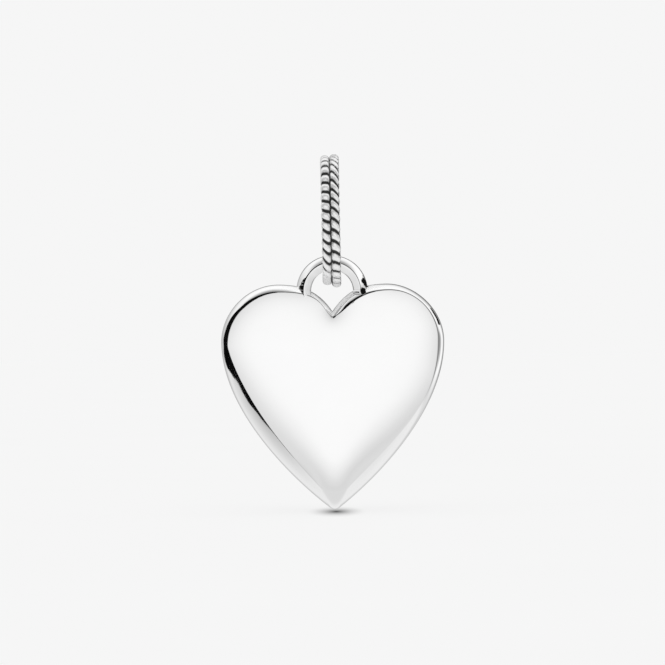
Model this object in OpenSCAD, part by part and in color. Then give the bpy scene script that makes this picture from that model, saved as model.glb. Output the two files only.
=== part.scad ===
// A domed heart tag with a loop over its notch, hanging in a closed ring with two rows of rope pattern.
// Sizes are in millimetres. Z is up, the heart's front faces -Y, and the ring stands across the heart.
// The origin is the inside top of the ring, where a chain bears.

/* [Heart] */
// Width of the heart over its two lobes
heart_w = 16; // [15.5:0.25:16.5]
// Height of the rim's inner edge above the heart's middle plane, on both faces
rim_h = 0.8; // [0.7:0.02:0.86]
// Height of the front dome above the rim's inner edge
front_dome = 0.5; // [0.3:0.05:0.7]
// Height of the back dome above the rim's inner edge
back_dome = 0.15; // [0.1:0.05:0.4]
// How flat the middle of a dome is: the higher, the flatter
dome_power = 4; // [2:0.5:5]

/* [Loop] */
// Radius of the loop's centre line
loop_r = 2.08; // [2:0.02:2.16]
// Width of the loop's bar, seen from the front
loop_w = 1; // [0.9:0.02:1.04]
// Thickness of the loop's bar, from front to back
loop_t = 1.3; // [1.2:0.05:1.3]
// Clearance between the loop and the inside of the ring
loop_gap = 0.14; // [0.14:0.01:0.2]

/* [Ring] */
// Outer diameter of the ring, over its right row
ring_d = 9.55; // [9:0.05:11]
// Width of the ring over its two rows
ring_w = 1.36; // [1.2:0.02:1.5]
// Thickness of each row, from its inside to its outside
row_t = 0.98; // [0.9:0.02:1.1]
// How much farther out the right row lies than the left one
row_step = 0.2; // [0:0.05:0.2]
// Grains in each row
grains = 38; // [34:1:42]
// Depth of the grooves between the grains
groove_depth = 0.12; // [0.05:0.01:0.16]

/* [Hidden] */

// Heart contours, each a right half from the notch down to the tip.
// Heights are taken from the loop's centre, at a heart 16 mm wide.
// Columns: notch height, notch pull, lobe top pull, lobe centre across, lobe centre height, lobe radius,
// pull below the lobe, pull above the tip, angle of the flank at the tip, tip height, tip radius
OUTLINE = [-1.45, 2.3, 1.9, 3.9, -3.6, 4.1, 5.2, 2.6, 53, -15.67, 0.5];
CREASE_LEFT = [-1.84, 2.9, 2.3, 3.77, -3.86, 3.78, 0.4, 8, 42.5, -14.4, 1.6];
CREASE_RIGHT = [-1.84, 1.6, 1.5, 4.1, -3.43, 3.47, 4.1, 6.5, 45, -14.4, 1.6];
design_w = 16;
notch_angle = 45;
heart_scale = heart_w / design_w;

// Points on each stretch of a half contour
notch_steps = 9;
lobe_steps = 14;
flank_steps = 20;
tip_steps = 5;

// Rings of points on the rim
rim_steps = 6;
// Curve of the rim's section, from the outline to its inner edge.
// Columns: share of its width, share of its height
RIM_CURVE = [[0, 0], [0, 0.4], [0.65, 0.79], [1, 1]];
// Rings of points on a dome, as shares of the way from the rim's inner edge to the dome's middle
dome_shares = [0.04, 0.09, 0.16, 0.26, 0.4, 0.6, 0.8];
dome_centre = heart_scale * [0, -5.4];

// Section of the loop's bar: an inner band that leans to the middle, a ridge, and a rounded outer band.
// Columns: place across the bar from -1 inside to 1 outside, height of the front as a share of half its
// thickness, height of the back as the same share
LOOP_SECTION = [
    [-1, 0, 0],
    [-0.97, 0.45, 0.31],
    [-0.88, 0.72, 0.6],
    [-0.72, 0.8, 0.87],
    [0.06, 1, 1],
    [0.12, 0.99, 0.99],
    [0.4, 0.82, 0.92],
    [0.66, 0.6, 0.71],
    [0.88, 0.33, 0.39],
    [1, 0, 0]
];
// Angle by which each foot runs on past the half ring, down into the heart
foot_turn = 22;

// The ring's middle and the heart's place below it
ring_in_r = ring_d / 2 - row_t - row_step;
bar_z = -2 * ring_in_r + loop_gap + loop_w / 2;
loop_z = bar_z - loop_r;

// The ring's section: two rows side by side, with a groove between them on the inside and the outside
steps_per_grain = 5;
ring_steps = steps_per_grain * grains;
row_mid_share = 0.243;
row_mid = row_mid_share * ring_w;
row_half_w = ring_w / 2 - row_mid;
row_half_t = row_t / 2;
row_mid_r = ring_d / 2 - row_half_t - row_step / 2;
row_angles = [152, 118, 84, 44, 0, -60, -130];
// How square a row's section is: 1 is an ellipse, and less is squarer
row_square = 0.78;
// Height of the groove's bottom as a share of half a row's thickness
notch_share = 0.32;
// Grains by which a groove drops over the width of its row, from left to right.
// Columns: at the sides of the ring, added at its top and taken off at its bottom
LEFT_DROP = [0.4, -0.7];
RIGHT_DROP = [0.75, 0.35];
// How narrow a groove is beside its grain: the lower, the narrower
groove_share = 0.4;

// Point on a cubic curve between a and d, pulled towards b and c
function curve(a, b, c, d, t) =
    pow(1 - t, 3) * a + 3 * pow(1 - t, 2) * t * b + 3 * (1 - t) * t * t * c + t * t * t * d;

// Right half of a heart contour, from the notch over the lobe to the tip
function half_contour(row) =
    let(
        notch = [0, row[0]],
        notch_pull = row[1],
        top_pull = row[2],
        lobe = [row[3], row[4]],
        lobe_r = row[5],
        side_pull = row[6],
        tip_pull = row[7],
        flank_angle = row[8],
        tip_r = row[10],
        tip_mid = [0, row[9] + tip_r],
        lobe_top = lobe + [0, lobe_r],
        lobe_side = lobe + [lobe_r, 0],
        flank_end = tip_mid + tip_r * [cos(flank_angle), -sin(flank_angle)],
        notch_hold = notch + notch_pull * [sin(notch_angle), cos(notch_angle)],
        top_hold = lobe_top - [top_pull, 0],
        side_hold = lobe_side - [0, side_pull],
        flank_hold = flank_end + tip_pull * [sin(flank_angle), cos(flank_angle)]
    )
    concat(
        [for (i = [0 : notch_steps - 1]) curve(notch, notch_hold, top_hold, lobe_top, i / notch_steps)],
        [for (i = [0 : lobe_steps - 1]) let(a = 90 - 90 * i / lobe_steps) lobe + lobe_r * [cos(a), sin(a)]],
        [for (i = [0 : flank_steps - 1])
            curve(lobe_side, side_hold, flank_hold, flank_end, i / flank_steps)],
        [for (i = [0 : tip_steps])
            let(a = -flank_angle - (90 - flank_angle) * i / tip_steps) tip_mid + tip_r * [cos(a), sin(a)]]
    );

// Whole contour, clockwise from the notch: the right half, then the left half back up
function contour(right_row, left_row) =
    let(
        right = half_contour(right_row),
        left = half_contour(left_row),
        left_up = [for (i = [len(left) - 2 : -1 : 1]) [-left[i][0], left[i][1]]]
    )
    heart_scale * concat(right, left_up);

// One ring of points: a contour moved by a share towards another one, at a height above the middle plane
function rim_ring(from, to, share, height) =
    [for (i = [0 : len(from) - 1]) let(p = from[i] + share * (to[i] - from[i])) [p[0], -height, p[1]]];

function dome_ring(edge, share, height) =
    [for (p = edge) let(q = p + share * (dome_centre - p)) [q[0], -height, q[1]]];

function dome_height(dome, share) = dome * (1 - pow(1 - share, dome_power));

// Rings of one face, from just inside the outline to near the middle; side is 1 in front and -1 behind
function face_rings(outline, crease, dome, side) =
    concat(
        [for (k = [1 : rim_steps])
            let(at = curve(RIM_CURVE[0], RIM_CURVE[1], RIM_CURVE[2], RIM_CURVE[3], k / rim_steps))
            rim_ring(outline, crease, at[0], side * rim_h * at[1])],
        [for (share = dome_shares) dome_ring(crease, share, side * (rim_h + dome_height(dome, share)))]
    );

// Triangles between ring a and ring b of a stack of rings with n points each
function band(a, b, n) =
    [for (i = [0 : n - 1])
        let(j = (i + 1) % n)
        each [[a * n + i, b * n + i, b * n + j], [a * n + i, b * n + j, a * n + j]]];

function flatten(lists) = [for (list = lists) each list];

module heart_body() {
    outline = contour(OUTLINE, OUTLINE);
    crease = contour(CREASE_RIGHT, CREASE_LEFT);
    n = len(outline);
    front = face_rings(outline, crease, front_dome, 1);
    back = face_rings(outline, crease, back_dome, -1);
    front_first = [for (k = [len(front) - 1 : -1 : 0]) front[k]];
    rings = concat(front_first, [rim_ring(outline, crease, 0, 0)], back);
    front_point = [dome_centre[0], -rim_h - front_dome, dome_centre[1]];
    back_point = [dome_centre[0], rim_h + back_dome, dome_centre[1]];
    points = concat(flatten(rings), [front_point, back_point]);
    last = len(rings) - 1;
    sides = flatten([for (k = [0 : last - 1]) band(k, k + 1, n)]);
    front_fan = [for (i = [0 : n - 1]) [len(points) - 2, i, (i + 1) % n]];
    back_fan = [for (i = [0 : n - 1]) [last * n + (i + 1) % n, last * n + i, len(points) - 1]];
    polyhedron(points, concat(sides, front_fan, back_fan));
}

// Half ring over the notch, with its feet carried down into the heart
module loop() {
    rotate([90, 0, 0])
        rotate_extrude(angle = 180 + 2 * foot_turn, start = -foot_turn, $fn = 64)
            polygon(concat(
                [for (row = LOOP_SECTION) [loop_r + row[0] * loop_w / 2, row[1] * loop_t / 2]],
                [for (k = [len(LOOP_SECTION) - 2 : -1 : 1])
                    [loop_r + LOOP_SECTION[k][0] * loop_w / 2, -LOOP_SECTION[k][2] * loop_t / 2]]
            ));
}

module heart_tag() {
    color("silver")
        translate([0, 0, loop_z]) {
            union() {
                heart_body();
                loop();
            }
        }
}

// Height of a grain's surface at a phase counted in grains: 1 on its crest, 0 in its groove
function grain(phase) = pow((1 + cos(360 * phase)) / 2, groove_share);

function squared(v) = sign(v) * pow(abs(v), row_square);

// Point of a row: turn is the way round the ring from its top, angle the way round the row's section
function row_point(side, turn, angle) =
    let(
        across = side > 0 ? 1 - angle / 180 : angle / 180,
        row_drop = side > 0 ? RIGHT_DROP : LEFT_DROP,
        drop = row_drop[0] + row_drop[1] * cos(turn),
        depth = groove_depth * (1 - grain(grains * turn / 360 - drop * across)),
        x = side * (row_mid + row_half_w * (1 - depth / row_half_t) * squared(cos(angle))),
        r = row_mid_r + side * row_step / 2 + (row_half_t - depth) * squared(sin(angle))
    )
    [x, -r * sin(turn), r * cos(turn)];

function notch_point(turn, way) =
    let(r = row_mid_r + way * notch_share * row_half_t) [0, -r * sin(turn), r * cos(turn)];

function ring_section(turn) =
    concat(
        [notch_point(turn, 1)],
        [for (a = row_angles) row_point(1, turn, a)],
        [notch_point(turn, -1)],
        [for (k = [len(row_angles) - 1 : -1 : 0]) row_point(-1, turn, row_angles[k])]
    );

module bail_ring() {
    sections = [for (i = [0 : ring_steps - 1]) ring_section(360 * i / ring_steps)];
    n = len(sections[0]);
    faces = flatten([for (i = [0 : ring_steps - 1]) band((i + 1) % ring_steps, i, n)]);
    color("lightgray")
        translate([0, 0, -ring_in_r])
            polyhedron(flatten(sections), faces);
}

heart_tag();
bail_ring();
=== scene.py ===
"""Looks of the heart tag pendant: a mirror-polished heart with its loop, and an oxidised rope ring."""

from math import cos, pi, radians, sin

import bmesh
import bpy
import numpy as np
from mathutils import Matrix, Vector


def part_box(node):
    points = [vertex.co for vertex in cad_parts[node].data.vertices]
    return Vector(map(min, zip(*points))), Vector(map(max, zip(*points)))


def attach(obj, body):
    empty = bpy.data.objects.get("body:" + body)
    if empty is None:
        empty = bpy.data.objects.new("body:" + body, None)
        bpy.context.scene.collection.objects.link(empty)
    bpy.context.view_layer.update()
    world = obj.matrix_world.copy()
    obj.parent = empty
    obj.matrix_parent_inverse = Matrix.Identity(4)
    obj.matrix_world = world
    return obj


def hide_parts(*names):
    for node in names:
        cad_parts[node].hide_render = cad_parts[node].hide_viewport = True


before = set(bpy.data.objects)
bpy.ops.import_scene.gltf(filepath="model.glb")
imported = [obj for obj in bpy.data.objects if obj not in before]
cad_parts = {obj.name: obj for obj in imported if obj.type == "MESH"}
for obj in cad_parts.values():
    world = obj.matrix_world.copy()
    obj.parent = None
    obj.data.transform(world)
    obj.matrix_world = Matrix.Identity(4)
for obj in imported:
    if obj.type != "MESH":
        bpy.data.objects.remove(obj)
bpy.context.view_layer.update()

MM = 0.001

# The photograph: the frame's side, the heart's width, its turn and the middle of its loop, in pixels and
# degrees
IMAGE_PX = 665
HEART_PX = 223
ROLL_DEG = 0.755
MIDDLE_PX = (332.05, 291.0)

# The heart's contours are those of the part: each row is a right half from the notch down to the tip,
# in millimetres from the loop's centre
ROW_NAMES = (
    "notch_height",
    "notch_angle",
    "notch_pull",
    "top_pull",
    "lobe_across",
    "lobe_height",
    "lobe_radius",
    "lobe_round",
    "side_pull",
    "tip_pull",
    "flank_angle",
    "tip_height",
    "tip_radius",
)
OUTLINE_LEFT = (-1.45, 33, 1.6, 1.9, 3.9, -3.6, 4.1, 0.53, 5.2, 2.6, 53, -15.67, 0.5)
OUTLINE_RIGHT = (-1.45, 35, 1.75, 1.9, 3.9, -3.62, 4.1, 0.52, 5.2, 2.9, 53, -15.67, 0.5)
CREASE_LEFT = (-1.84, 60, 1.0, 3.4, 3.77, -3.82, 3.78, 0.552, 0.4, 8, 42.5, -14.4, 1.6)
CREASE_RIGHT = (-1.84, 78, 1.0, 2.6, 4.1, -3.43, 3.47, 0.552, 4.1, 6.5, 45, -14.4, 1.6)
DESIGN_W = 16

# Points on each stretch of a half contour
NOTCH_STEPS = 52
LOBE_STEPS = 72
FLANK_STEPS = 96
TIP_STEPS = 20

# The rim: height of its inner edge, and the curve of its section from the outline to there, as shares of its
# width and of its height. Behind, it slopes more
RIM_H = 0.8
RIM_CURVE = np.array([(0, 0), (0, 0.4), (0.65, 0.79), (1, 1)])
BACK_CURVE = np.array([(0, 0), (0.4, 0.4), (0.65, 0.79), (1, 1)])
RIM_RINGS = 20

# Rings of points on the rounding of the rim's inner edge
EDGE_RINGS = 6

# The rim's inner edge round the heart. Columns: share of the way round, clockwise from the notch, how far the
# edge is rounded, and its height as a share of the rim's height
EDGE = (
    (0.0, 0.03, 1.1),
    (0.02, 0.06, 1.12),
    (0.05, 0.1, 1.12),
    (0.07, 0.08, 1.1),
    (0.12, 0.06, 1.0),
    (0.17, 0.07, 1.0),
    (0.22, 0.08, 1.0),
    (0.26, 0.05, 1.0),
    (0.73, 0.05, 1.0),
    (0.76, 0.06, 0.99),
    (0.79, 0.07, 0.95),
    (0.83, 0.11, 0.925),
    (0.86, 0.07, 0.925),
    (0.9, 0.04, 0.95),
    (0.93, 0.05, 0.97),
    (0.96, 0.05, 1.02),
    (0.98, 0.02, 1.07),
    (1.0, 0.03, 1.1),
)

# The front dome. Columns: depth under the loop's centre, slope at the rim, and how far in it levels out
DOME = (
    (0.0, 0.2, 0.9),
    (1.5, 0.24, 1.0),
    (3.0, 0.31, 1.25),
    (7.0, 0.31, 1.6),
    (10.0, 0.36, 2.1),
    (12.0, 0.58, 2.6),
    (14.4, 0.82, 2.6),
)

# The back dome's slope as a share of the front's, and the plan of both: the middle, the rings of points, how
# they crowd towards the edge, and the radius of the innermost
BACK_SHARE = 0.3
DOME_CENTRE = (0, -5.4)
DOME_RINGS = 26
DOME_CROWD = 1.35
DOME_CORE = 0.35

# The notch's walls keep a satin finish that polishing doesn't reach: how far along the outline, how wide, how
# much of it on the left wall, and how rough and soft it is
SATIN_WAY = 0.105
SATIN_WAY_FADE = 0.03
SATIN_WIDE = 0.37
SATIN_WIDE_FADE = 0.07
SATIN_LEFT = 0.4
SATIN_ROUGH = 0.1
SATIN_SOFT = 0.7

# The loop: radius of its bar's middle line, the bar's width, its thickness at the top and in front at both
# feet, and how late it thickens
LOOP_R = 2.02
LOOP_W = 1.08
LOOP_T = 1.3
RIGHT_FOOT_T = 1.72
LEFT_FOOT_T = 1.68
FOOT_POWER = 1.2
LOOP_STEPS = 160

# The bar's section. Columns: place across it, from its inner side, as a share of half its width, then how
# thick it is there in front and behind, as shares of half its thickness
LOOP_SECTION = (
    (-1, 0, 0),
    (-0.99, 0.42, 0.27),
    (-0.968, 0.68, 0.5),
    (-0.935, 0.8, 0.72),
    (-0.895, 0.828, 0.86),
    (-0.02, 1, 1),
    (0.04, 0.986, 0.99),
    (0.11, 0.95, 0.98),
    (0.24, 0.852, 0.95),
    (0.42, 0.71, 0.89),
    (0.6, 0.556, 0.78),
    (0.78, 0.392, 0.62),
    (0.87, 0.305, 0.48),
    (0.89, 0.265, 0.44),
    (0.94, 0.15, 0.28),
    (0.98, 0.05, 0.12),
    (1, 0, 0),
)

# How far round the bar goes on below its centre, inside the heart, and how its feet sink into the rim: the
# share of the thickness that is lost, and the turns in degrees between which that sets in
FOOT_TURN = 22
SINK = 0.5
SINK_FROM = 5
SINK_TO = -15

# Where the ring bears, the bar is worn: the share of its thickness that is gone and the heights on the arch,
# as shares of its radius, between which that sets in. Then the same for its inner side, by the distance
# across
WORN = 0.1
WORN_FROM = 0.3
WORN_TO = 0.95
WORN_IN = 0.12
WORN_IN_FROM = 0.5
WORN_IN_TO = 0.3

# The ring: its diameter and width, how far its top lies above that of the CAD's ring, and its lean to the
# side in degrees
RING_D = 9.55
RING_W = 1.36
RING_UP = 0.02262
LEAN_DEG = 0.45

# Its two rows: their thickness, how much further out the right one lies, and how much higher the outer half
# of the left one stands
ROW_T = 0.98
ROW_STEP = 0.12
LEFT_UP = 0.05

# A row's section: its middle as a share of the ring's width, how square it is (1 is round), its points, and
# the turns in degrees where it meets the seam outside and inside
ROW_MID_SHARE = 0.243
ROW_SQUARE = 0.7
ROW_POINTS = 21
ROW_START = 158
ROW_END = -152

# The grains round the ring, the points along each, and the grooves between them: their depth and how narrow
# they are, where a lower value is narrower
GRAINS = 38
GRAIN_STEPS = 20
GROOVE_DEPTH = 0.15
GROOVE_SHARE = 0.56

# The dark seam between the rows: its half width, how far in its edge fades, and how far its bottom lies from
# a row's middle, as a share of half the row's thickness
SEAM_X = 0.12
SEAM_BLEND = 0.06
NOTCH_SHARE = 0.3

# Painted shade along the ring's right edge: its distance from the ring's middle, its half width and how dark
# it is
SHADE_LINE_X = 0.615
SHADE_LINE_WIDE = 0.05
SHADE_LINE_DEPTH = 0.8

# How a groove crosses its row, in grains: its slant as a constant and two factors, for the cosine of the turn
# and for that squared, then its bow at the ring's foot and the place of the first one
LEFT_DROP = (0.3, -0.55, 0.1)
RIGHT_DROP = (0.62, 0.54, 0.04)
LEFT_BOW = -0.14
RIGHT_BOW = 0.27
LEFT_PHASE = 0.04
RIGHT_PHASE = 0.48

# How the rope pattern runs. Columns: turn from the ring's top down its front, in degrees, how far the grooves
# are moved on the left and on the right row, in grains, how deep they are there, and how dark the seam is
PATTERN = (
    (0, 0.02, -0.06, 0.6, 0.6, 0.5),
    (32, -0.09, -0.07, 0.8, 0.8, 0.56),
    (43, -0.3, -0.26, 1, 0.9, 0.6),
    (54, -0.41, -0.36, 1, 1, 0.63),
    (63, -0.41, -0.42, 1, 1, 0.64),
    (72, -0.35, -0.36, 1, 1, 0.65),
    (81, -0.24, -0.22, 1, 1, 0.65),
    (90, -0.15, -0.23, 1, 1, 0.65),
    (99, -0.07, -0.27, 1, 1, 0.64),
    (109, -0.08, -0.33, 1, 1, 0.62),
    (119, -0.06, -0.42, 1, 1, 0.58),
    (129, -0.13, -0.58, 1, 1, 0.54),
    (139, -0.32, -0.74, 0.9, 0.9, 0.5),
    (150, -0.44, -0.89, 0.45, 0.65, 0.5),
    (162, -0.39, -1.08, 0.2, 0.6, 0.72),
    (180, -0.42, -1.26, 0.3, 0.6, 0.72),
    (210, -0.34, -1.22, 0.8, 0.8, 0.6),
    (360, 0.02, -1.06, 0.6, 0.6, 0.5),
)

# What follows from the CAD's boxes: the heart's scale and the heights of the loop's and the ring's centres
ring_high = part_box("bail_ring")[1]
heart_low, heart_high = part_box("heart_tag")
HEART_SCALE = (heart_high.x - heart_low.x) / MM / DESIGN_W
LOOP_Z = heart_high.z / MM - LOOP_R - LOOP_W / 2
RING_Z = ring_high.z / MM + RING_UP - RING_D / 2


def curve(a, b, c, d, t):
    """Points on a cubic curve between a and d, pulled towards b and c."""
    t = np.asarray(t)[:, None]
    return (1 - t) ** 3 * a + 3 * (1 - t) ** 2 * t * b + 3 * (1 - t) * t**2 * c + t**3 * d


def even_curve(a, b, c, d, steps):
    """Points evenly along a cubic curve, without its last one."""
    fine = np.linspace(0, 1, 40 * steps)
    length = np.cumsum(np.linalg.norm(np.diff(curve(a, b, c, d, fine), axis=0), axis=1))
    length = np.concatenate([[0], length])
    return curve(a, b, c, d, np.interp(np.arange(steps) / steps * length[-1], length, fine))


def arc(middle, radius, start, end, steps):
    """Points on an arc, without its last one. Angles in degrees."""
    a = np.radians(np.linspace(start, end, steps, endpoint=False))
    return middle + radius * np.stack([np.cos(a), np.sin(a)], axis=1)


def half_contour(values):
    """Right half of a heart contour, from the notch over the lobe to the tip."""
    row = dict(zip(ROW_NAMES, values))
    notch = np.array([0, row["notch_height"]])
    lobe = np.array([row["lobe_across"], row["lobe_height"]])
    lobe_top = lobe + [0, row["lobe_radius"]]
    lobe_side = lobe + [row["lobe_radius"], 0]
    lobe_pull = row["lobe_round"] * row["lobe_radius"]
    tip_mid = np.array([0, row["tip_height"] + row["tip_radius"]])
    flank = radians(row["flank_angle"])
    flank_end = tip_mid + row["tip_radius"] * np.array([cos(flank), -sin(flank)])
    lean = radians(row["notch_angle"])
    notch_hold = notch + row["notch_pull"] * np.array([sin(lean), cos(lean)])
    top_hold = lobe_top - [row["top_pull"], 0]
    round_hold = lobe_top + [lobe_pull, 0]
    side_hold = lobe_side - [0, row["side_pull"]]
    flank_hold = flank_end + row["tip_pull"] * np.array([sin(flank), cos(flank)])
    return np.concatenate(
        [
            even_curve(notch, notch_hold, top_hold, lobe_top, NOTCH_STEPS),
            even_curve(lobe_top, round_hold, lobe_side + [0, lobe_pull], lobe_side, LOBE_STEPS),
            even_curve(lobe_side, side_hold, flank_hold, flank_end, FLANK_STEPS),
            arc(tip_mid, row["tip_radius"], -row["flank_angle"], -90, TIP_STEPS),
            [tip_mid - [0, row["tip_radius"]]],
        ]
    )


def contour(right_row, left_row):
    """Whole contour, clockwise from the notch."""
    right = half_contour(right_row)
    left = half_contour(left_row)[-2:0:-1] * [-1, 1]
    return HEART_SCALE * np.concatenate([right, left])


def levelled(points, triangles, border, reach, slope):
    """Heights of a stretched membrane that rises from its border and levels out over a reach.

    Its first points are the border. Solves height - reach^2 * laplacian(height) = slope * reach by conjugate
    gradients on the triangles."""
    a, b, c = (points[triangles[:, k]] for k in range(3))
    area = np.abs(np.cross(b - a, c - a)) / 2
    count = len(points)
    mass = np.bincount(triangles.ravel(), np.repeat(area / 3, 3), count)
    edges, weights = [], []
    for k in range(3):
        i, j, o = triangles[:, k], triangles[:, (k + 1) % 3], triangles[:, (k + 2) % 3]
        u, v = points[i] - points[o], points[j] - points[o]
        edges.append(np.stack([i, j], axis=1))
        weights.append((u * v).sum(1) / (4 * area))
    edges = np.concatenate(edges)
    weights = np.concatenate(weights) * reach[edges[:, 0]] * reach[edges[:, 1]]
    free = np.ones(count)
    free[: len(border)] = 0

    def apply(h):
        pull = weights * (h[edges[:, 0]] - h[edges[:, 1]])
        out = mass * h + np.bincount(edges[:, 0], pull, count) - np.bincount(edges[:, 1], pull, count)
        return free * out

    height = np.zeros(count)
    height[: len(border)] = border
    rest = free * mass * slope * reach - apply(height)
    way = rest.copy()
    size = rest @ rest
    stop = size * 1e-16
    while size > stop:
        moved = apply(way)
        step = size / (way @ moved)
        height += step * way
        rest -= step * moved
        new_size = rest @ rest
        way = rest + new_size / size * way
        size = new_size
    return height


def ring_faces(rings, n):
    """Quads between neighbouring rings of n points each, all of them closed loops."""
    i = np.arange(n)
    j = (i + 1) % n
    return [
        (a * n + p, b * n + p, b * n + q, a * n + q)
        for a, b in zip(range(rings - 1), range(1, rings))
        for p, q in zip(i.tolist(), j.tolist())
    ]


def dome_plan(crease):
    """Plan of a dome: rings of points from its edge to a small round core, and its middle point."""
    centre = HEART_SCALE * np.array(DOME_CENTRE)
    spoke = crease - centre
    core = centre + DOME_CORE * spoke / np.linalg.norm(spoke, axis=1)[:, None]
    share = np.linspace(0, 1, DOME_RINGS) ** DOME_CROWD
    rings = [crease + s * (core - crease) for s in share]
    return rings, centre


def face_rings(outline, crease, share, side):
    """Rings of points on one face, from just inside the outline inward; side is 1 in front and -1 behind."""
    n = len(crease)
    across = crease - outline
    width = np.linalg.norm(across, axis=1)[:, None]
    tangent = np.roll(crease, -1, axis=0) - np.roll(crease, 1, axis=0)
    normal = tangent[:, ::-1] * [1, -1] / np.linalg.norm(tangent, axis=1)[:, None]
    plan, centre = dome_plan(crease)
    points = np.concatenate([*plan, [centre]])
    quads = np.array(ring_faces(len(plan), n))
    fan = [((len(plan) - 1) * n + i, (len(plan) - 1) * n + (i + 1) % n, len(points) - 1) for i in range(n)]
    triangles = np.concatenate([quads[:, [0, 1, 2]], quads[:, [0, 2, 3]], np.array(fan)])
    depth, slope, reach = (np.array(column) for column in zip(*DOME))
    slope = share * np.interp(-points[:, 1], depth, slope)
    reach = np.interp(-points[:, 1], depth, reach)
    way, rounded, edge_h = (np.array(column) for column in zip(*EDGE))
    rounded = np.interp(np.arange(n) / n, way, rounded)
    edge_h = RIM_H * np.interp(np.arange(n) / n, way, edge_h)
    rise = levelled(points, triangles, edge_h - RIM_H, reach, slope)
    rings = []
    last = 1 - rounded / (3 * (1 - RIM_CURVE[2][0]) * width[:, 0])
    for k in range(1, RIM_RINGS + 1):
        at = curve(*(RIM_CURVE if side > 0 else BACK_CURVE), last * k / RIM_RINGS)
        rings.append((outline + at[:, :1] * across, edge_h[:, None] * at[:, 1:]))
    start, start_h = rings[-1]
    spoke = plan[1] - plan[0]
    along = (rounded / np.abs((spoke * normal).sum(1)))[:, None]
    end = crease + along * spoke
    end_h = edge_h[:, None] + along * (rise[n : 2 * n] - rise[:n])[:, None]
    for k in range(1, EDGE_RINGS + 1):
        t = k / EDGE_RINGS
        flat = (1 - t) ** 2 * start + 2 * (1 - t) * t * crease + t**2 * end
        height = (1 - t) ** 2 * start_h + 2 * (1 - t) * t * edge_h[:, None] + t**2 * end_h
        rings.append((flat, height))
    for k in range(1, len(plan)):
        rings.append((plan[k], RIM_H + rise[k * n : (k + 1) * n, None]))
    solid = [np.column_stack([p[:, 0], -side * np.broadcast_to(h, (n, 1)), p[:, 1]]) for p, h in rings]
    top = np.array([centre[0], -side * (RIM_H + rise[-1]), centre[1]])
    return solid, top


def new_piece(name, points, faces, offset):
    """A smooth mesh object from points in millimetres, moved by an offset in millimetres."""
    mesh = bpy.data.meshes.new(name)
    mesh.from_pydata(((np.asarray(points) + offset) * MM).tolist(), [], faces)
    mesh.validate()
    tool = bmesh.new()
    tool.from_mesh(mesh)
    bmesh.ops.recalc_face_normals(tool, faces=tool.faces)
    tool.to_mesh(mesh)
    tool.free()
    mesh.polygons.foreach_set("use_smooth", [True] * len(mesh.polygons))
    piece = bpy.data.objects.new(name, mesh)
    bpy.context.scene.collection.objects.link(piece)
    return piece


def heart_body():
    """The heart alone. Each of its points keeps its share of satin finish."""
    outline = contour(OUTLINE_RIGHT, OUTLINE_LEFT)
    crease = contour(CREASE_RIGHT, CREASE_LEFT)
    n = len(outline)
    front, front_top = face_rings(outline, crease, 1, 1)
    back, back_top = face_rings(outline, crease, BACK_SHARE, -1)
    edge = np.column_stack([outline[:, 0], np.zeros(n), outline[:, 1]])
    rings = [*front[::-1], edge, *back]
    points = np.concatenate([*rings, [front_top, back_top]])
    way = np.arange(n) / n
    near = np.clip((SATIN_WAY - np.minimum(way, 1 - way)) / SATIN_WAY_FADE, 0, 1)
    near *= np.where(way < 0.5, 1, SATIN_LEFT)
    inward = [np.linalg.norm(ring[:, [0, 2]] - outline, axis=1) for ring in rings]
    satin = [near * np.clip((SATIN_WIDE - d) / SATIN_WIDE_FADE, 0, 1) for d in inward]
    last = (len(rings) - 1) * n
    faces = ring_faces(len(rings), n)
    faces += [(len(points) - 2, i, (i + 1) % n) for i in range(n)]
    faces += [(last + (i + 1) % n, last + i, len(points) - 1) for i in range(n)]
    piece = new_piece("heart_body", points, faces, (0, 0, LOOP_Z))
    finish = piece.data.attributes.new("satin", "FLOAT", "POINT")
    finish.data.foreach_set("value", np.concatenate([*satin, [0, 0]]).astype(np.float32))
    return piece


def eased(value, start, end):
    """Share of the way from start to end, with a smooth beginning and end."""
    share = min(max((value - start) / (end - start), 0), 1)
    return share**2 * (3 - 2 * share)


def corner_cut(points, times):
    """A closed polygon with its corners cut again and again, which rounds them."""
    for _ in range(times):
        after = np.roll(points, -1, axis=0)
        points = np.stack([0.75 * points + 0.25 * after, 0.25 * points + 0.75 * after], axis=1).reshape(-1, 2)
    return points


def loop():
    """The loop: a bar bent over the notch, with its ends inside the heart."""
    front = [(LOOP_R + x * LOOP_W / 2, -f / 2) for x, f, b in LOOP_SECTION]
    back = [(LOOP_R + x * LOOP_W / 2, b / 2) for x, f, b in LOOP_SECTION[-2:0:-1]]
    section = corner_cut(np.array(front + back), 2)
    n = len(section)
    inward = np.minimum(section[:, 0] - LOOP_R, 0)
    turns = np.linspace(-FOOT_TURN, 180 + FOOT_TURN, LOOP_STEPS)
    points = []
    for turn in turns:
        across, up = cos(radians(turn)), sin(radians(turn))
        foot_t = RIGHT_FOOT_T if across > 0 else LEFT_FOOT_T
        thick = LOOP_T + (foot_t - LOOP_T) * (1 - max(up, 0)) ** FOOT_POWER
        sunk = 1 - SINK * eased(min(turn, 180 - turn), SINK_FROM, SINK_TO)
        worn = 1 - WORN * eased(up, WORN_FROM, WORN_TO)
        front_t = worn * (thick * sunk if across > 0 else thick)
        deep = np.where(section[:, 1] < 0, front_t, LOOP_T * sunk * worn) * section[:, 1]
        out = section[:, 0] - WORN_IN * eased(abs(across), WORN_IN_FROM, WORN_IN_TO) * inward
        points.append(np.column_stack([out * across, deep, out * up]))
    points = np.concatenate(points)
    faces = ring_faces(LOOP_STEPS, n)
    faces += [tuple(range(n)), tuple(range(len(points) - 1, len(points) - n - 1, -1))]
    return new_piece("loop", points, faces, (0, 0, LOOP_Z))


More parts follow.
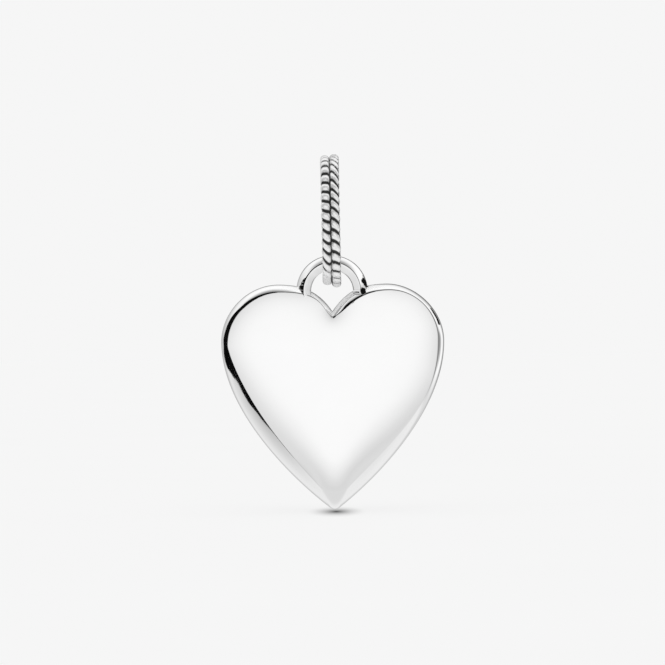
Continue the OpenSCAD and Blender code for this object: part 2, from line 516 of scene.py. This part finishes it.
# Edges of the heart that are sharper than this, in degrees, aren't smoothed
SHARP_DEG = 32


def heart_tag():
    """Heart and loop as one closed body."""
    body, arch = heart_body(), loop()
    join = body.modifiers.new("join", "BOOLEAN")
    join.operation = "UNION"
    join.solver = "EXACT"
    join.object = arch
    joined = bpy.data.meshes.new_from_object(body.evaluated_get(bpy.context.evaluated_depsgraph_get()))
    for old in (body, arch):
        bpy.data.objects.remove(old)
    joined.polygons.foreach_set("use_smooth", [True] * len(joined.polygons))
    joined.set_sharp_from_angle(angle=radians(SHARP_DEG))
    piece = bpy.data.objects.new("heart", joined)
    bpy.context.scene.collection.objects.link(piece)
    return piece


def bail_ring():
    """Closed ring of two rows of grains; groove depth and painted shade at its right edge are kept for the
    finish.
    """
    row_mid = ROW_MID_SHARE * RING_W
    half_w = RING_W / 2 - row_mid
    half_t = ROW_T / 2
    mid_r = RING_D / 2 - half_t - ROW_STEP / 2
    turns = 2 * pi * np.arange(GRAINS * GRAIN_STEPS) / (GRAINS * GRAIN_STEPS)
    place, *values = (np.array(column) for column in zip(*PATTERN))
    values = [np.interp(np.degrees(turns), place, value) for value in values]
    left_move, right_move, left_deep, right_deep, seam = values
    rows = (
        (1, ROW_START, ROW_END, RIGHT_DROP, RIGHT_BOW, RIGHT_PHASE, right_move, right_deep),
        (-1, ROW_END, ROW_START, LEFT_DROP, LEFT_BOW, LEFT_PHASE, left_move, left_deep),
    )
    columns = []
    for side, start, end, row_drop, bow, row_phase, moved, worn in rows:
        columns.append((mid_r + side * NOTCH_SHARE * half_t + 0 * turns, 0 * turns, 1 + 0 * turns))
        for angle in np.linspace(start, end, ROW_POINTS):
            c, s = cos(radians(angle)), sin(radians(angle))
            c = np.sign(c) * abs(c) ** ROW_SQUARE
            s = np.sign(s) * abs(s) ** ROW_SQUARE
            across = (1 + side * c) / 2
            drop = row_drop[0] + row_drop[1] * np.cos(turns) + row_drop[2] * np.cos(turns) ** 2
            phase = GRAINS * turns / (2 * pi) - drop * across + row_phase + moved
            phase += bow * (1 - np.cos(turns)) / 2 * (4 * across * (1 - across) - 1)
            low = worn * (1 - ((1 + np.cos(2 * pi * phase)) / 2) ** GROOVE_SHARE)
            depth = GROOVE_DEPTH * low
            x = side * (row_mid + half_w * (1 - depth / half_t) * c)
            r = mid_r + side * ROW_STEP / 2 + (half_t - depth) * s
            seam_oxide_and_edge_shade = seam * np.clip((SEAM_X - np.abs(x)) / SEAM_BLEND, 0, 1)
            # Painted shade: a dark line along the ring's right edge, kept with the oxide of the seam and
            # grooves
            seam_oxide_and_edge_shade = np.maximum(seam_oxide_and_edge_shade, SHADE_LINE_DEPTH * np.clip(1 - np.abs(x - SHADE_LINE_X) / SHADE_LINE_WIDE, 0, 1))
            columns.append((r, x, np.maximum(low, seam_oxide_and_edge_shade)))
    n = len(columns)
    r, x, low = (np.array([column[k] for column in columns]).T for k in range(3))
    angle = turns[:, None]
    lift = LEFT_UP * np.clip(0.5 + (r - mid_r) / half_t, 0, 1)
    high = r * np.cos(angle) + lift * np.clip(0.5 - x / (2 * SEAM_X), 0, 1)
    leaned = x - sin(radians(LEAN_DEG)) * (high + mid_r)
    points = np.stack([leaned, -r * np.sin(angle), high], axis=2).reshape(-1, 3)
    rings = len(turns)
    faces = ring_faces(rings, n)
    faces += [((rings - 1) * n + i, i, (i + 1) % n, (rings - 1) * n + (i + 1) % n) for i in range(n)]
    piece = new_piece("rope_ring", points, faces, (0, 0, RING_Z))
    groove = piece.data.attributes.new("groove", "FLOAT", "POINT")
    groove.data.foreach_set("value", low.ravel().astype(np.float32))
    return piece


class Nodes:
    """Short ways to add and link shader nodes."""

    def __init__(self, tree):
        self.tree = tree
        tree.nodes.clear()

    def add(self, kind, inputs=None, **settings):
        node = self.tree.nodes.new(kind)
        for name, value in settings.items():
            setattr(node, name, value)
        for name, value in (inputs or {}).items():
            socket = node.inputs[name]
            if isinstance(value, bpy.types.NodeSocket):
                self.tree.links.new(value, socket)
            else:
                socket.default_value = value
        return node

    def ramp(self, value, stops):
        node = self.add("ShaderNodeValToRGB", {"Fac": value})
        elements = node.color_ramp.elements
        while len(elements) < len(stops):
            elements.new(0.5)
        for element, (place, grey) in zip(elements, stops):
            element.position = place
            element.color = (grey, grey, grey, 1)
        return node.outputs["Color"]


def new_material(name):
    """A material with its nodes cleared, and the helper that adds them."""
    material = bpy.data.materials.new(name)
    material.use_nodes = True
    return material, Nodes(material.node_tree)


# Painted dark reflection: black painted into the polish in the corner at the loop's right foot. Columns:
# across and up from the loop's centre, half width, half height and lean, in millimetres and degrees. Then
# their middle and half size in depth, how far in their edge fades, how rough they are, how uneven their edge
# is, and their colour
PAINTED_REFLECTIONS = (
    (2.23, -0.03, 0.22, 0.33, -20),
    (2.37, 0.61, 0.24, 0.5, -24),
)
PAINTED_REFLECTION_Y = -0.6
PAINTED_REFLECTION_DEEP = 0.8
PAINTED_REFLECTION_EDGE = 0.2
PAINTED_REFLECTION_ROUGH = 0.3
PAINTED_REFLECTION_UNEVEN = (1.2, 1.2, 1.2)
PAINTED_REFLECTION_COLOUR = (0.01, 0.01, 0.01, 1)

# Hairlines of the polish: how fine along each axis, and how they are turned
HAIR_SCALE = (900.0, 900.0, 14000.0)
HAIR_TURN = (0, 0.6, 0)

# Level of the shine where no dark reflection is painted
UNPAINTED_SHINE = 0.5


def polished_silver():
    """Mirror polish with faint hairlines, a slightly uneven roughness and a painted dark reflection at the
    loop's right foot.
    """
    material, n = new_material("polished_silver")
    place = n.add("ShaderNodeTexCoord").outputs["Object"]
    cloud = n.add("ShaderNodeTexNoise", {"Vector": place, "Scale": 420.0, "Detail": 3.0})
    polish = n.ramp(cloud.outputs["Fac"], ((0.35, 0.03), (0.65, 0.06)))
    satin = n.add("ShaderNodeAttribute", attribute_name="satin").outputs["Fac"]
    matt = n.add("ShaderNodeMath", {0: satin, 1: SATIN_ROUGH}, operation="MULTIPLY").outputs[0]
    metal = n.add("ShaderNodeMath", {0: satin, 1: -SATIN_SOFT, 2: 1.0}, operation="MULTIPLY_ADD").outputs[0]
    rough = n.add("ShaderNodeMath", {0: polish, 1: matt}, operation="ADD").outputs[0]
    tint = n.ramp(cloud.outputs["Fac"], ((0.3, 0.955), (0.7, 0.965)))
    stretch = n.add("ShaderNodeMapping", {"Vector": place, "Scale": HAIR_SCALE, "Rotation": HAIR_TURN})
    hair = n.add("ShaderNodeTexNoise", {"Vector": stretch.outputs["Vector"], "Scale": 1.0, "Detail": 2.0})
    bump = n.add("ShaderNodeBump", {"Height": hair.outputs["Fac"], "Strength": 0.05, "Distance": 0.000002})
    grain = n.add("ShaderNodeTexNoise", {"Vector": place, "Scale": 3500.0, "Detail": 2.0})
    shift = n.add(
        "ShaderNodeVectorMath",
        {0: grain.outputs["Color"], 1: (0.5, 0.5, 0.5)},
        operation="SUBTRACT",
    )
    # Painted dark reflection: black painted at the loop's right foot, with less metal and less shine there
    painted_reflection = 0.0
    for across, up, half_w, half_h, lean in PAINTED_REFLECTIONS:
        spot = n.add(
            "ShaderNodeMapping",
            {
                "Vector": place,
                "Location": (across * MM, PAINTED_REFLECTION_Y * MM, (LOOP_Z + up) * MM),
                "Rotation": (0, radians(lean), 0),
                "Scale": (half_w * MM, PAINTED_REFLECTION_DEEP * MM, half_h * MM),
            },
            vector_type="TEXTURE",
        )
        uneven = n.add(
            "ShaderNodeVectorMath",
            {0: shift.outputs["Vector"], 1: PAINTED_REFLECTION_UNEVEN, 2: spot.outputs["Vector"]},
            operation="MULTIPLY_ADD",
        )
        near = n.add("ShaderNodeTexGradient", {"Vector": uneven.outputs["Vector"]}, gradient_type="SPHERICAL")
        mark = n.add("ShaderNodeMapRange", {"Value": near.outputs["Fac"], "From Max": PAINTED_REFLECTION_EDGE})
        painted_reflection = n.add("ShaderNodeMath", {0: mark.outputs["Result"], 1: painted_reflection}, operation="MAXIMUM").outputs[0]
    unpainted = n.add("ShaderNodeMath", {0: 1.0, 1: painted_reflection}, operation="SUBTRACT").outputs[0]
    metal = n.add("ShaderNodeMath", {0: metal, 1: unpainted}, operation="MULTIPLY").outputs[0]
    rough = n.add("ShaderNodeMath", {0: painted_reflection, 1: PAINTED_REFLECTION_ROUGH, 2: rough}, operation="MULTIPLY_ADD").outputs[0]
    shine = n.add("ShaderNodeMath", {0: unpainted, 1: UNPAINTED_SHINE}, operation="MULTIPLY").outputs[0]
    tint = n.add("ShaderNodeMixRGB", {"Fac": painted_reflection, "Color1": tint, "Color2": PAINTED_REFLECTION_COLOUR})
    shader = n.add(
        "ShaderNodeBsdfPrincipled",
        {
            "Base Color": tint.outputs["Color"],
            "Metallic": metal,
            "Roughness": rough,
            "Specular IOR Level": shine,
            "Normal": bump.outputs["Normal"],
        },
    )
    n.add("ShaderNodeOutputMaterial", {"Surface": shader.outputs["BSDF"]})
    return material


# The worn grains are satin, so part of their light is soft. The oxide's edge is uneven by a share of a groove
GRAIN_METALLIC = 0.4
OXIDE_UNEVEN = 0.16


def oxidised_silver():
    """Bright silver on the grains, black oxide down in the grooves, and painted shade along the right edge.
    """
    material, n = new_material("oxidised_silver")
    place = n.add("ShaderNodeTexCoord").outputs["Object"]
    low = n.add("ShaderNodeAttribute", attribute_name="groove").outputs["Fac"]
    cloud = n.add("ShaderNodeTexNoise", {"Vector": place, "Scale": 2600.0, "Detail": 4.0})
    uneven = n.add("ShaderNodeMath", {0: cloud.outputs["Fac"], 1: OXIDE_UNEVEN}, operation="MULTIPLY")
    depth = n.add("ShaderNodeMath", {0: low, 1: uneven.outputs[0]}, operation="ADD").outputs[0]
    # The same black serves the oxide in the grooves and the painted shade at the ring's right edge
    colour = n.ramp(depth, ((0.45, 0.96), (0.74, 0.02)))
    rough = n.ramp(depth, ((0.4, 0.28), (0.8, 0.5)))
    bump = n.add("ShaderNodeBump", {"Height": cloud.outputs["Fac"], "Strength": 0.2, "Distance": 0.000004})
    shader = n.add(
        "ShaderNodeBsdfPrincipled",
        {
            "Base Color": colour,
            "Metallic": GRAIN_METALLIC,
            "Roughness": rough,
            "Normal": bump.outputs["Normal"],
        },
    )
    n.add("ShaderNodeOutputMaterial", {"Surface": shader.outputs["BSDF"]})
    return material


def dress(piece, material, body, node):
    """Give a piece its material, attach it to its body, and hide the CAD part that it stands for."""
    piece.data.materials.clear()
    piece.data.materials.append(material)
    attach(piece, body)
    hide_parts(node)


silver, oxide = polished_silver(), oxidised_silver()
dress(heart_tag(), silver, "heart", "heart_tag")
dress(bail_ring(), oxide, "bail", "bail_ring")
bpy.data.objects["rope_ring"].visible_glossy = False
for node, material in (("heart_tag", silver), ("bail_ring", oxide)):
    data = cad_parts[node].data
    data.materials.clear()
    data.materials.append(material)

# The background's brightness, as the photograph's
PALE = 0.921

# The floor lies just under the tip. Its light is even, and most of it is its own. Under the tip is a soft
# shadow painted on the floor: its middle, its half width and half depth, in metres, and how dark it is
FLOOR_SIZE = 4.0
FLOOR_GAP = 0.02 * MM
FLOOR_LIGHT = 0.96
FLOOR_GLOW = 0.8
PAINTED_SHADOW_AT = (0.0001, -0.0032)
PAINTED_SHADOW_WIDE = 0.0023
PAINTED_SHADOW_DEEP = 0.011
PAINTED_SHADOW_DARK = 0.94


def floor():
    """Pale floor that mirrors leave out, with a soft shadow painted under the tip."""
    bpy.ops.mesh.primitive_plane_add(size=FLOOR_SIZE, location=(0, 0, heart_low.z - FLOOR_GAP))
    plane = bpy.context.object
    plane.name = "floor"
    material, n = new_material("pale_floor")
    place = n.add("ShaderNodeTexCoord").outputs["Object"]
    cloud = n.add("ShaderNodeTexNoise", {"Vector": place, "Scale": 30.0})
    tint = n.ramp(cloud.outputs["Fac"], ((0.3, 0.958), (0.7, 0.962)))
    # Painted shadow: the floor's colour is darkened in a soft spot under the tip
    spot = n.add(
        "ShaderNodeMapping",
        {"Vector": place, "Location": (*PAINTED_SHADOW_AT, 0), "Scale": (PAINTED_SHADOW_WIDE, PAINTED_SHADOW_DEEP, 1)},
        vector_type="TEXTURE",
    )
    near = n.add(
        "ShaderNodeTexGradient",
        {"Vector": spot.outputs["Vector"]},
        gradient_type="QUADRATIC_SPHERE",
    )
    shade = n.add(
        "ShaderNodeMath",
        {0: near.outputs["Fac"], 1: -PAINTED_SHADOW_DARK, 2: 1.0},
        operation="MULTIPLY_ADD",
    )
    toned = n.add(
        "ShaderNodeMixRGB",
        {"Fac": 1.0, "Color1": tint, "Color2": shade.outputs[0]},
        blend_type="MULTIPLY",
    )
    matt = n.add("ShaderNodeBsdfDiffuse", {"Color": toned.outputs["Color"]})
    glow = n.add("ShaderNodeEmission", {"Color": toned.outputs["Color"], "Strength": FLOOR_LIGHT})
    shader = n.add(
        "ShaderNodeMixShader",
        {0: FLOOR_GLOW, 1: matt.outputs["BSDF"], 2: glow.outputs["Emission"]},
    )
    n.add("ShaderNodeOutputMaterial", {"Surface": shader.outputs["Shader"]})
    plane.data.materials.append(material)
    plane.visible_glossy = False


# The studio: a pale tent all round, seen by the metal alone, with a darker ring round the camera's opening
# and another behind the pendant. Columns: angle from the camera's direction in degrees, then brightness
# above, at the right, below and at the left
TENT = (
    (180, 1.0, 1.0, 1.0, 1.0),
    (172, 1.0, 1.0, 1.0, 1.0),
    (168, 0.2, 0.3, 0.56, 0.42),
    (142, 0.2, 0.3, 0.58, 0.48),
    (134, 0.6, 0.36, 0.6, 0.52),
    (122, 0.9, 0.92, 0.68, 0.56),
    (116, 0.95, 1.05, 0.62, 0.58),
    (111, 1, 1, 0.7, 0.62),
    (106, 1.02, 0.62, 0.78, 0.68),
    (100, 1.05, 0.28, 0.85, 0.77),
    (92, 1.02, 0.26, 0.87, 0.81),
    (88, 0.85, 0.24, 0.87, 0.81),
    (84, 0.55, 0.24, 0.87, 0.8),
    (80, 0.28, 0.24, 0.86, 0.77),
    (74, 0.12, 0.24, 0.86, 0.73),
    (66, 0.12, 0.24, 0.82, 0.67),
    (58, 0.12, 0.24, 0.75, 0.57),
    (50, 0.15, 0.3, 0.73, 0.38),
    (44, 0.35, 0.4, 0.73, 0.6),
    (38, 0.68, 0.66, 0.74, 0.74),
    (30, 0.79, 0.79, 0.71, 0.79),
    (25, 0.84, 0.84, 0.77, 0.84),
    (17.5, 0.93, 0.93, 0.9, 0.93),
    (11.5, 0.985, 0.985, 0.985, 0.985),
    (0, 1.0, 1.0, 1.0, 1.0),
)
TENT_MOST = 1.2

# Where the tent's sides pass into its top and bottom, by the share of a direction that is upright
STEEP_BELOW_RIGHT = (0.2, 0.4)
STEEP_ABOVE_RIGHT = (0.08, 0.28)
STEEP_LEFT = (0.3, 0.62)
SIDE_FADE = (-0.1, 0.1)

# Black cards: a wide one at the camera's left and a narrow one at its right. Columns: way round the camera's
# axis from the right, anticlockwise, and the angles from the camera's direction between which the card lies,
# in degrees
LEFT_CARD = (
    (96, 38, 75),
    (108, 38, 77.5),
    (120, 38, 79.5),
    (132, 40, 84),
    (143, 50, 91),
    (153, 50, 98),
    (165, 50, 104),
    (175, 50, 112),
    (183, 50, 113),
    (188, 50, 112.5),
    (191, 50, 108),
    (193.5, 42, 101),
    (195.5, 42, 95),
    (197.5, 42, 86),
    (200, 42, 77),
    (202, 41, 71.5),
    (203, 41, 68),
    (205, 41, 63.2),
    (208, 41, 59.6),
    (210.5, 42, 57),
    (213, 43, 53.6),
    (217, 44, 52.5),
    (221, 47, 51),
)
RIGHT_CARD = (
    (36, 126, 134),
    (31, 121, 134),
    (27, 119, 134),
    (24, 119, 134),
    (21, 117, 133),
    (18, 114, 131),
    (16, 113, 127),
)

# The cards' distance, in metres, from a point this deep under the loop's centre, in millimetres
CARD_R = 0.6
CARD_DEPTH = 5.0


def toward(turn, away):
    """Direction at a way round the camera's axis, and at an angle from the camera's direction, in degrees."""
    a, b = radians(turn), radians(away)
    return Vector((sin(b) * cos(a), -cos(b), sin(b) * sin(a)))


# Share of the floor's light that comes from overhead, and how narrow that beam is
OVERHEAD_SHARE = 0.35
OVERHEAD_POWER = 4.0


def fade(n, value, ends):
    """Node output that goes from 0 to 1 between two values."""
    inputs = {"Value": value, "From Min": ends[0], "From Max": ends[1]}
    return n.add("ShaderNodeMapRange", inputs).outputs["Result"]


def mixed(n, share, first, second):
    """Node output of two colours mixed."""
    return n.add("ShaderNodeMixRGB", {"Fac": share, "Color1": first, "Color2": second}).outputs["Color"]


def studio():
    """The light: the tent for the metal, a soft sky for the rest, and a plain background."""
    world = bpy.data.worlds.new("tent")
    bpy.context.scene.world = world
    world.use_nodes = True
    n = Nodes(world.node_tree)
    direction = n.add("ShaderNodeTexCoord").outputs["Generated"]
    split = n.add("ShaderNodeSeparateXYZ", {"Vector": direction})
    x, y, z = (split.outputs[axis] for axis in "XYZ")
    place = fade(n, y, (1.0, -1.0))
    stops = [(1 + cos(radians(row[0]))) / 2 for row in TENT]
    above, right, below, left = (
        n.ramp(place, [(stop, row[side] / TENT_MOST) for stop, row in zip(stops, TENT)])
        for side in (1, 2, 3, 4)
    )
    up = n.add("ShaderNodeMath", {0: z}, operation="ABSOLUTE").outputs[0]
    aside = n.add("ShaderNodeMath", {0: x}, operation="ABSOLUTE").outputs[0]
    both = n.add("ShaderNodeMath", {0: up, 1: aside}, operation="ADD").outputs[0]
    share = n.add("ShaderNodeMath", {0: up, 1: both}, operation="DIVIDE").outputs[0]
    high = fade(n, z, SIDE_FADE)
    far = fade(n, x, SIDE_FADE)
    upright = mixed(n, high, below, above)
    level = mixed(n, far, left, right)
    steep_right = mixed(n, high, fade(n, share, STEEP_BELOW_RIGHT), fade(n, share, STEEP_ABOVE_RIGHT))
    steep = mixed(n, far, fade(n, share, STEEP_LEFT), steep_right)
    lit = n.add("ShaderNodeBackground", {"Color": mixed(n, steep, level, upright), "Strength": TENT_MOST})
    plain = n.add("ShaderNodeBackground", {"Color": (PALE, PALE, PALE, 1)})
    top = n.add("ShaderNodeMath", {0: z, 1: 0.0}, operation="MAXIMUM").outputs[0]
    beam = n.add("ShaderNodeMath", {0: top, 1: OVERHEAD_POWER}, operation="POWER").outputs[0]
    fall = n.add(
        "ShaderNodeMath",
        {0: beam, 1: OVERHEAD_SHARE * (OVERHEAD_POWER + 2) / 2, 2: 1 - OVERHEAD_SHARE},
        operation="MULTIPLY_ADD",
    )
    strength = n.add("ShaderNodeMath", {0: fall.outputs[0], 1: FLOOR_LIGHT}, operation="MULTIPLY").outputs[0]
    soft = n.add("ShaderNodeBackground", {"Color": (1, 1, 1, 1), "Strength": strength})
    rays = n.add("ShaderNodeLightPath")
    first = n.add(
        "ShaderNodeMixShader",
        {0: rays.outputs["Is Glossy Ray"], 1: soft.outputs[0], 2: lit.outputs[0]},
    )
    second = n.add(
        "ShaderNodeMixShader",
        {0: rays.outputs["Is Camera Ray"], 1: first.outputs[0], 2: plain.outputs[0]},
    )
    n.add("ShaderNodeOutputWorld", {"Surface": second.outputs[0]})


def black_card(name, rows):
    """A black card with shaped edges, which the metal alone sees."""
    middle = Vector((0, 0, (LOOP_Z - CARD_DEPTH) * MM))
    outer = [middle + toward(turn, far) * CARD_R for turn, near, far in rows]
    inner = [middle + toward(turn, near) * CARD_R for turn, near, far in rows]
    mesh = bpy.data.meshes.new(name)
    count = len(outer)
    mesh.from_pydata(outer + inner, [], [(i, i + 1, count + i + 1, count + i) for i in range(count - 1)])
    card = bpy.data.objects.new(name, mesh)
    bpy.context.scene.collection.objects.link(card)
    material, n = new_material("black_card")
    place = n.add("ShaderNodeTexCoord").outputs["Object"]
    cloud = n.add("ShaderNodeTexNoise", {"Vector": place, "Scale": 9.0})
    tint = n.ramp(cloud.outputs["Fac"], ((0.3, 0.004), (0.7, 0.006)))
    shader = n.add("ShaderNodeBsdfDiffuse", {"Color": tint})
    n.add("ShaderNodeOutputMaterial", {"Surface": shader.outputs["BSDF"]})
    mesh.materials.append(material)
    card.visible_camera = False
    card.visible_diffuse = False
    card.visible_shadow = False


# The camera looks level at the middle of the photograph's frame
CAMERA_AWAY = 330 * MM
SENSOR = 36.0


def camera():
    """Camera that frames the pendant as the photograph does, with its small roll."""
    mm_per_px = DESIGN_W * HEART_SCALE / HEART_PX
    roll = radians(ROLL_DEG)
    right = IMAGE_PX / 2 - MIDDLE_PX[0]
    down = IMAGE_PX / 2 - MIDDLE_PX[1]
    x = (cos(roll) * right - sin(roll) * down) * mm_per_px
    z = LOOP_Z - (sin(roll) * right + cos(roll) * down) * mm_per_px
    data = bpy.data.cameras.new("camera")
    data.sensor_width = SENSOR
    data.lens = SENSOR * CAMERA_AWAY / (IMAGE_PX * mm_per_px * MM)
    data.clip_start = 0.01
    eye = bpy.data.objects.new("camera", data)
    eye.matrix_world = (
        Matrix.Translation((x * MM, -CAMERA_AWAY, z * MM))
        @ Matrix.Rotation(roll, 4, "Y")
        @ Matrix.Rotation(pi / 2, 4, "X")
    )
    bpy.context.scene.collection.objects.link(eye)
    bpy.context.scene.camera = eye


floor()
studio()
black_card("left_card", LEFT_CARD)
black_card("right_card", RIGHT_CARD)
camera()
view = bpy.context.scene.view_settings
view.view_transform = "Standard"
view.look = "None"
